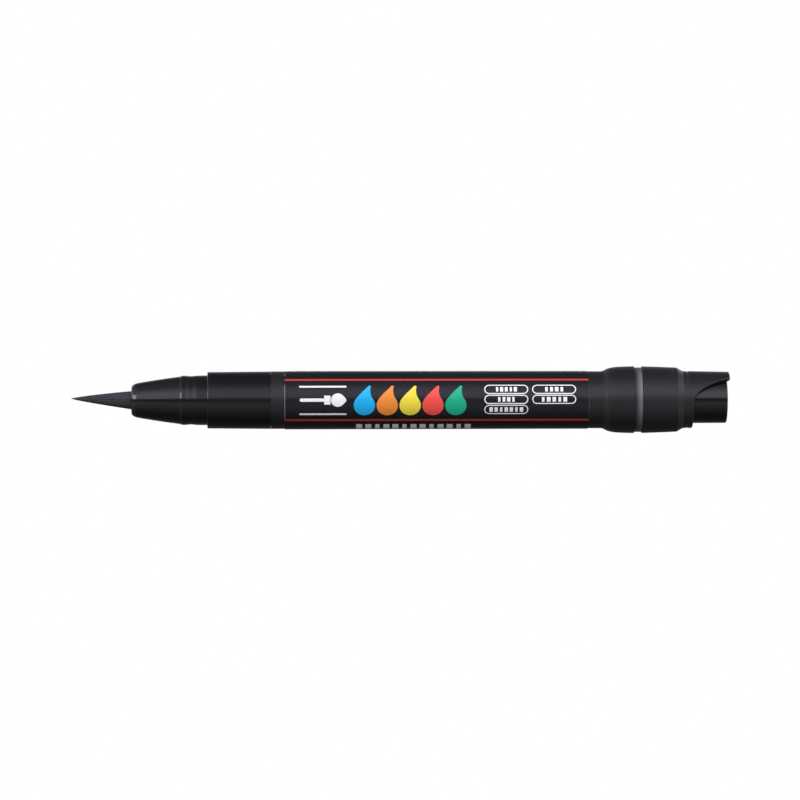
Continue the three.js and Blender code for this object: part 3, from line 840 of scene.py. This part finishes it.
def label_print(ink):
    """Generic print in place of the maker's: lines, a brush, drops of paint and plain blocks."""
    prints = {name: Skins() for name in PRINT_COLOURS}
    ends = (LABEL.x0 + PRINT_MARGIN, LABEL.x1 - PRINT_MARGIN)
    for low, high in RED_LINES:
        bar(prints["crimson"], *ends, low, high)
    for low, high in RULES:
        bar(prints["white"], *RULE_ENDS, low, high)
    brush_sign(prints["white"])
    first = DROP_ENDS[0] + DROP["radius"]
    pitch = (DROP_ENDS[1] - DROP_ENDS[0] - 2 * DROP["radius"]) / (len(DROPS) - 1)
    for i, colour in enumerate(DROPS):
        drop(prints[colour], first + pitch * i)
    for (x0, x1), words in zip(PILL_COLUMNS, PILL_BLOCKS):
        for (low, high), (count, length) in zip(PILL_ROWS, words):
            inset = OUTLINE / 2
            outline_of(prints["white"], capsule(x0 + inset, x1 - inset, low + inset, high - inset), OUTLINE)
            start = (x0 + x1 - length) / 2
            blocks(prints["white"], start, start + length, (low + high) / 2, BLOCK_HEIGHT, count)
    small = SMALL_PRINT
    blocks(prints["silver"], *small["ends"], small["middle"], small["height"], small["count"])
    for name, skins in prints.items():
        piece = mesh_object(f"print_{name}", skins.vertices, skins.faces, ink[name])
        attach(piece, BODY)


# ---- the tuft

TUFT_RADIUS = 2.3
TUFT_TAPER = 0.8
TUFT_LIFT = 0.48  # how far the point is swept up
TUFT_SWEEP = 0.85
TUFT_ROOT = NOSE.x0 + 0.4
TUFT_LENGTH = TUFT_ROOT - TIP.x0
HEEL = -65.8  # the tuft's round heel, inside the nose


def tuft_radius(along):
    """The tuft's radius at a share of its length from the point."""
    return TUFT_RADIUS * max(along, 0) ** TUFT_TAPER


def tuft_point(along, angle, share):
    """A point of the tuft at a share of its length and of its radius, swept up towards the point."""
    x = TIP.x0 + along * TUFT_LENGTH
    radius = tuft_radius(min(along, 1)) * share
    lift = TUFT_LIFT * (1 - min(along, 1)) ** TUFT_SWEEP
    return Vector((x, -radius * math.cos(angle), radius * math.sin(angle) + lift)) * MM


def strand(points, radii, sides=5):
    """Loops of the given radii round a path of points, in metres."""
    loops = []
    for i, point in enumerate(points):
        ahead = points[min(i + 1, len(points) - 1)] - points[max(i - 1, 0)]
        side = ahead.cross(Vector((0, 0, 1))).normalized()
        up = side.cross(ahead).normalized()
        spokes = [side * math.cos(angle) + up * math.sin(angle) for angle in around(sides)]
        loops.append([tuple(point + spoke * radii[i]) for spoke in spokes])
    return loops


CORE_SHARE = 0.95  # the core's share of the tuft's radius
CORE_START = 0.015  # how far behind the point the core begins, as a share of the length
HEEL_TURN = math.radians(86.4)  # how far round the heel's arc goes, so that its end stays open
FILAMENTS = 520
FILAMENT_TURNS = 34  # how often they go round the tuft, so that neighbours don't look alike
FILAMENT_RADII = (0.06, 0.095)
FILAMENT_TIP = 0.16  # a filament's tip as a share of its radius


def tuft_core(sides=40, stations=36, heel_steps=6):
    """The loops of a core in the tuft's own shape, with a round heel inside the nose."""
    angles = around(sides)
    loops = []
    for t in shares(stations):
        along = t**1.5 * (1 - CORE_START) + CORE_START
        loops.append([tuple(tuft_point(along, angle, CORE_SHARE)) for angle in angles])
    for t in shares(heel_steps)[1:]:
        turn = t * HEEL_TURN
        x = TUFT_ROOT + (HEEL - TUFT_ROOT) * math.sin(turn)
        radius = TUFT_RADIUS * CORE_SHARE * math.cos(turn)
        loops.append([on_axis(x, radius, angle) for angle in angles])
    return loops


def filament(rng, angle, steps=12):
    """The loops of one filament, which ends in the tuft's front half and starts in the nose."""
    angle += rng.uniform(-0.05, 0.05)
    drift = rng.uniform(-0.12, 0.12)
    depth = rng.uniform(0.9, 1.0)
    tip = rng.random() ** 2.2 * 0.5
    thick = rng.uniform(*FILAMENT_RADII) * MM
    points, radii = [], []
    for t in shares(steps):
        along = tip + (1.0 - tip) * t
        points.append(tuft_point(along, angle + drift * (1 - along) ** 0.7, depth))
        widening = FILAMENT_TIP + (1 - FILAMENT_TIP) * min(1, 2.2 * t + 0.02) ** 0.7
        radii.append(thick * widening * (0.4 + 0.6 * along))
    points.append(tuft_point(1.0, angle, depth) + Vector((0.3, 0, 0)) * MM)
    radii.append(thick)
    return strand(points, radii)


def tuft(material):
    """A core under several hundred filaments that run to the point."""
    rng = random.Random(7)
    skins = Skins()
    skins.add(tuft_core())
    for n in range(FILAMENTS):
        skins.add(filament(rng, 2 * math.pi * n / FILAMENTS * FILAMENT_TURNS % (2 * math.pi)))
    piece = mesh_object("tuft_hairs", skins.vertices, skins.faces, material, crease=None)
    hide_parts("brush_tip")
    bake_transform(piece)


# ---- inner parts

ROD_HOLE = 1  # round the push rod, in the parts that it runs through
HINGE_X = -68  # where the tuft's hinge lies, in the middle of its round heel


def sleeve(part, outer, inner, edge=0.08):
    """A plain tube or washer."""
    return [(part.x0, outer, edge), (part.x1, outer, edge), (part.x1, inner, edge), (part.x0, inner, edge)]


def ferrule(part):
    """The tuft's holder: a tube with a flange at its back."""
    flange, step = -58, -59.3
    return [
        (part.x0, 3.4, 0.15), (flange, 3.4, 0.1), (flange, 4.75, 0.1), (part.x1, 4.75, 0.1),
        (part.x1, 3, 0.1), (step, 3, 0.05), (step, 2.45, 0.05), (part.x0, 2.45, 0.1),
    ]


def o_ring(part, middle):
    """A ring with a round section, whose middle lies at a radius."""
    centre, radius = (part.x0 + part.x1) / 2, (part.x1 - part.x0) / 2
    return [(centre - radius * math.cos(a), middle + radius * math.sin(a)) for a in around(24)]


def valve_wall(part):
    """A skirt, and behind it the wall with the orifice."""
    wall = -38
    return [
        (part.x0, 5.85, 0.1), (part.x1, 5.85, 0.1), (part.x1, 1.4, 0.1), (wall, 1.4, 0.1),
        (wall, 4.9, 0.1), (part.x0, 4.9, 0.1),
    ]


def plug(part):
    """The tank's plug, with a flange and then the cup for the rod's seal."""
    flange, floor = 53.55, 55
    return [
        (part.x0, 6.1, 0.3), (flange, 6.1, 0.1), (flange, 7.2, 0.1), (floor, 7.2, 0.1),
        (floor, 3.4, 0.15), (part.x1, 3.4, 0.1), (part.x1, 2.5, 0.1), (floor, 2.5, 0.05),
        (floor, ROD_HOLE, 0.05), (part.x0, ROD_HOLE, 0.1),
    ]


def cap(part):
    """A cap over the seal's cup."""
    lid = 57.55
    return [
        (part.x0, 4.15, 0.1), (part.x1, 4.15, 0.1), (part.x1, ROD_HOLE, 0.05),
        (lid, ROD_HOLE, 0.05), (lid, 3.5, 0.05), (part.x0, 3.5, 0.1),
    ]


def bush(part):
    """A disc that guides the rod, with a rim at its back that holds the return spring."""
    back = 60.1
    return [
        (part.x0, 5.95, 0.1), (back, 5.95, 0.1), (back, 3.9, 0.1), (part.x1, 3.9, 0.1),
        (part.x1, 3.3, 0.1), (back, 3.3, 0.05), (back, ROD_HOLE, 0.1), (part.x0, ROD_HOLE, 0.1),
    ]


def stem(part):
    """The valve's stem, with its head in front."""
    head, head_back, radius = 2.6, -38.75, 0.7
    return [
        (part.x0, 0), (part.x0, head, 0.15), (head_back, head, 0.1), (head_back, radius, 0.05),
        (part.x1, radius, 0.1), (part.x1, 0),
    ]


def rod(part):
    """The long push rod."""
    radius = 0.9
    return [(part.x0, 0), (part.x0, radius, 0.15), (part.x1, radius, 0.15), (part.x1, 0)]


def root(part):
    """The bound end of the tuft: a hollow for its round heel, and a rim at its back."""
    hollow, turn = 2.42, math.radians(70.7)
    outline = []
    for t in shares(12):
        angle = t * turn
        outline.append((HINGE_X + hollow * math.cos(angle), hollow * math.sin(angle)))
    rim, rim_radius = -59.2, 2.9
    outline += [(rim, 2.284, 0.03), (rim, rim_radius, 0.1), (part.x1, rim_radius, 0.1), (part.x1, 0)]
    return outline


def ball(part):
    """A ball round the origin."""
    radius = (part.x1 - part.x0) / 2
    angles = [t * math.pi for t in shares(32)]
    return [(-radius * math.cos(angle), radius * math.sin(angle)) for angle in angles]


RINGS = (
    ("brush_ferrule", BODY, ferrule, ()),
    ("ferrule_lock", BODY, sleeve, (4.8, 3.2)),
    ("feed_tube", BODY, sleeve, (0.95, 0.5)),
    ("feed_bush", BODY, sleeve, (4.8, 1)),
    ("nose_seal", BODY, o_ring, (5.38,)),
    ("valve_seat", BODY, valve_wall, ()),
    ("valve_gasket", "valve", sleeve, (2.6, 0.75)),
    ("stem_collar", "valve", sleeve, (2.3, 0.75)),
    ("tank_plug", BODY, plug, ()),
    ("rod_seal", BODY, sleeve, (2.4, 0.96)),
    ("seal_cap", BODY, cap, ()),
    ("guide_bush", BODY, bush, ()),
)
SOLIDS = (
    ("valve_stem", "valve", stem),
    ("push_rod", "button", rod),
    ("brush_root", BODY, root),
    ("mixing_ball", "ball", ball),
)


def inner_parts(materials):
    """The turned parts with a hole through them, and then those without."""
    for node, body, shape, sizes in RINGS:
        outline = softened(shape(Span(node), *sizes))
        piece = turned(f"{node}_fine", outline, materials[SLOTS[node]], SMALL)
        settle(piece, body, node)
    for node, body, shape in SOLIDS:
        outline = softened(shape(Span(node)), closed=False)
        piece = turned_solid(f"{node}_fine", outline, materials[SLOTS[node]], SMALL)
        if shape is ball:
            low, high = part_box(node)
            piece.data.transform(Matrix.Translation((low + high) / 2))
        settle(piece, body, node)


END_TURN = 0.85  # how many turns lie closed at each end of a spring
OPENING = 0.4  # over how many turns it opens


def spring(node, radius, wire, turns, material):
    """A coil spring with closed end turns."""
    part = Span(node)
    closed = 2.1 * wire  # how far the wire moves on in a closed turn
    per_turn, sides = 28, 10
    steps = turns * per_turn
    advance = []
    for i in range(steps):
        from_end = min(i, steps - 1 - i) / per_turn
        ease = min(1, max(0, (from_end - END_TURN) / OPENING))
        advance.append(ease * ease * (3 - 2 * ease))
    open_share = (part.x1 - part.x0 - 2 * wire - closed * turns) / sum(advance)
    x = part.x0 + wire
    loops = []
    for i in range(steps + 1):
        angle = 2 * math.pi * i / per_turn
        step = closed / per_turn + open_share * advance[min(i, steps - 1)]
        out = Vector((0, -math.cos(angle), math.sin(angle)))
        turn = Vector((0, math.sin(angle), math.cos(angle))) * (2 * math.pi * radius / per_turn)
        side = (turn + Vector((step, 0, 0))).normalized().cross(out)
        centre = Vector((x, 0, 0)) + out * radius
        spokes = [out * math.cos(a) + side * math.sin(a) for a in around(sides)]
        loops.append([tuple((centre + spoke * wire) * MM) for spoke in spokes])
        x += step
    piece = loft(f"{node}_wire", loops, material, ring=False)
    settle(piece, BODY, node)
    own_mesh(piece)


def dress_frame(materials):
    """Gives every CAD node that stays its slot's material."""
    for node, piece in frame["nodes"].items():
        piece.data.materials.clear()
        piece.data.materials.append(materials[SLOTS[node]])


# ---- studio

FLOOR_Z = -8.53 * MM
FLOOR_REACH = 6.0
CAMERA_BACK = 1.275
CAMERA_SIDE = -0.0332
CAMERA_LENS = 225.0
AIM_X = -0.00008
CAMERA_ROLL = math.radians(-0.083)


def camera_sees(tree, shown, otherwise):
    """One shader to the camera, and another to everything else."""
    seen = add(tree, "ShaderNodeLightPath").outputs["Is Camera Ray"]
    return add(tree, "ShaderNodeMixShader", {0: seen, 1: otherwise, 2: shown}).outputs[0]


def studio_floor():
    """A wide pale floor just under the pen, which is plain white to the camera."""
    corners = [(-1, -1), (1, -1), (1, 1), (-1, 1)]
    mesh = bpy.data.meshes.new("floor")
    mesh.from_pydata([(x * FLOOR_REACH, y * FLOOR_REACH, FLOOR_Z) for x, y in corners], [], [(0, 1, 2, 3)])
    floor = placed("floor", mesh)
    material, tree, shader = blank("pale_floor")
    feed(shader, {"Base Color": (0.9, 0.9, 0.9, 1), "Roughness": 0.9})
    white = add(tree, "ShaderNodeEmission", {"Color": (1, 1, 1, 1), "Strength": 1.0}).outputs[0]
    end = next(n for n in tree.nodes if n.type == "OUTPUT_MATERIAL")
    feed(end, {"Surface": camera_sees(tree, white, shader.outputs[0])})
    mesh.materials.append(material)
    floor.visible_glossy = False
    floor.visible_diffuse = False


BRIGHTEST = 2.0  # the level that white stands for in the ramps of the world
UPPER_TINT = (1.06, 1.0, 1.18)
LOWER_TINT = (1, 1, 1.03)
TINTS_MEET = 0.1  # the height above which the upper tint holds
FRONT_LEVELS = [  # how bright the studio is in front of the pen, by the sine of the height
    (-1.0, 0.06), (-0.87, 0.15), (-0.57, 0.32), (-0.37, 0.42), (-0.15, 0.36), (-0.06, 0.08),
    (0.11, 0.08), (0.16, 0.5), (0.35, 0.56), (0.55, 0.54), (0.7, 0.42), (0.82, 0.26), (0.94, 0.1),
    (1.0, 0.08),
]
REAR_LEVELS = [  # how bright it is behind the pen
    (-1.0, 0.06), (-0.6, 0.1), (0.0, 0.2), (0.08, 0.45), (0.3, 0.5), (0.5, 0.3), (0.65, 0.1),
    (0.8, 0.08), (1.0, 0.08),
]
BEHIND = (-0.05, 0.35)  # where along Y the front's levels give way to the rear's
MIDDLE = -0.02  # where along X the dimmest part lies, between the wings
WINGS_NEAR = 1.65  # how much brighter it gets just to the left and right of the middle
NEAR_FRONT = (0.0, 0.107)  # how far from the middle the near wings come up, in front and behind
NEAR_BEHIND = (0.1, 0.5)
NEAR_HEIGHTS = (0.0, 0.15)  # the near wings are only above the horizon
WINGS_FAR = 0.6  # how much brighter it gets far out to the sides
FAR = (0.15, 0.9)
FADES = ((0.3, -0.42, -0.58), (0.8, 0.17, 0.27))  # to what share the near wings fade, and where along X
CARD_ENDS = ((-0.143, -0.124), (-0.215, -0.034))  # a low card of light stands beside the nose
CARD_HEIGHTS = (0.02, 0.08)
CARD_POWER = 0.105


def levels(tree, height, stops):
    """A ramp of light levels over height, a little violet above the horizon."""
    ramp = add(tree, "ShaderNodeValToRGB", {"Fac": height})
    elements = ramp.color_ramp.elements
    elements.remove(elements[-1])
    for i, (z, level) in enumerate(stops):
        element = elements[0] if i == 0 else elements.new((z + 1) / 2)
        element.position = (z + 1) / 2
        shade = UPPER_TINT if z > TINTS_MEET else LOWER_TINT
        element.color = (*tint(shade, level / BRIGHTEST), 1)
    return ramp.outputs[0]


def math_on(tree, operation, *values):
    """The result of a calculation with numbers or sockets."""
    return add(tree, "ShaderNodeMath", dict(enumerate(values)), operation=operation).outputs[0]


def wings(tree, axes, behind):
    """How much brighter it gets to the sides: close to the middle above the horizon, and far out."""
    sideways = math_on(tree, "ABSOLUTE", math_on(tree, "SUBTRACT", axes["X"], MIDDLE))
    near = spread(tree, sideways, 0.0, WINGS_NEAR, *NEAR_FRONT)
    for share, inner, outer in FADES:
        near = math_on(tree, "MULTIPLY", near, spread(tree, axes["X"], 1.0, share, inner, outer))
    near_behind = spread(tree, sideways, 0.0, WINGS_NEAR, *NEAR_BEHIND)
    near = add(tree, "ShaderNodeMix", {0: behind, 2: near, 3: near_behind}, data_type="FLOAT").outputs[0]
    above = spread(tree, axes["Z"], 0.0, 1.0, *NEAR_HEIGHTS)
    far = spread(tree, sideways, 1.0, 1.0 + WINGS_FAR, *FAR)
    return math_on(tree, "MULTIPLY_ADD", near, above, far)


def studio_world():
    """White to the camera. To the pen it is light above and below, with a dark band at its own level."""
    world = bpy.data.worlds.new("studio")
    bpy.context.scene.world = world
    world.use_nodes = True
    tree = world.node_tree
    tree.nodes.clear()
    direction = add(tree, "ShaderNodeTexCoord").outputs["Generated"]
    axes = add(tree, "ShaderNodeSeparateXYZ", {"Vector": direction}).outputs
    height = spread(tree, axes["Z"], 0.0, 1.0, -1.0, 1.0)
    behind = spread(tree, axes["Y"], 0.0, 1.0, *BEHIND)
    front, rear = (levels(tree, height, stops) for stops in (FRONT_LEVELS, REAR_LEVELS))
    gain = math_on(tree, "MULTIPLY", wings(tree, axes, behind), BRIGHTEST)
    inputs = {"Color": between(tree, behind, front, rear), "Strength": gain}
    lit = add(tree, "ShaderNodeBackground", inputs).outputs[0]
    white = add(tree, "ShaderNodeBackground", {"Color": (1, 1, 1, 1), "Strength": 1.0}).outputs[0]
    add(tree, "ShaderNodeOutputWorld", {"Surface": camera_sees(tree, white, lit)})


def area_light(name, width, height, power):
    """A rectangle of light that has yet to be placed."""
    data = bpy.data.lights.new(name, "AREA")
    data.shape = "RECTANGLE"
    data.size, data.size_y = width, height
    data.energy = power
    return placed(name, data)


def soft_light(name, power, place):
    """A broad soft light that faces the pen. It adds no reflection of its own."""
    light = area_light(name, 1.6, 0.7, power)
    light.location = place
    light.rotation_euler = (-Vector(place)).to_track_quat("-Z", "Y").to_euler()
    light.visible_glossy = False


def nose_card():
    """A small card of light beside the nose, which shows as the bright lines on its roundings."""
    right, left = (Vector((x, y, sum(CARD_HEIGHTS) / 2)) for x, y in CARD_ENDS)
    width = (right - left).length
    light = area_light("nose_card", width, CARD_HEIGHTS[1] - CARD_HEIGHTS[0], CARD_POWER)
    across = (right - left).normalized()
    up = Vector((0, 0, 1))
    turn = Matrix((across, up, across.cross(up))).transposed()
    light.matrix_world = Matrix.Translation((right + left) / 2) @ turn.to_4x4()
    light.visible_camera = False
    light.visible_diffuse = False


def camera():
    """Level with the pen, square to it, a little to the brush's side, through a long lens."""
    data = bpy.data.cameras.new("camera")
    data.lens = CAMERA_LENS
    data.sensor_width = 36.0
    data.clip_start, data.clip_end = 0.05, 30.0
    view = placed("camera", data)
    view.location = (CAMERA_SIDE, -CAMERA_BACK, 0)
    aim = Vector((AIM_X, 0, 0)) - view.location
    view.rotation_euler = aim.to_track_quat("-Z", "Y").to_euler()
    view.rotation_euler.rotate_axis("Z", CAMERA_ROLL)
    bpy.context.scene.camera = view


# ---- assembly

camera()
studio_world()
soft_light("soft_light", 16.0, (0, -0.75, 1.1))
soft_light("rear_fill", 8.0, (0, 1.1, 0.7))
nose_card()
studio_floor()
bpy.context.scene.view_settings.view_transform = "Standard"

materials = make_materials()
dress_frame(materials)
nose_cone(materials["gloss_shell"])
front_collar(materials["satin_shell"])
barrel(materials["matte_shell"])
label(materials["label_film"], materials["white"])
label_print(materials)
clear_ring(materials["smoke_ring"])
tail_housing(materials["tail_shell"])
button_shroud(materials["tail_shell"])
push_button(materials["gloss_shell"])
tuft(materials["tuft"])
inner_parts(materials)
spring("return_spring", 2.75, 0.3, 9, materials["spring_steel"])
spring("valve_spring", 1.9, 0.25, 6, materials["spring_steel"])
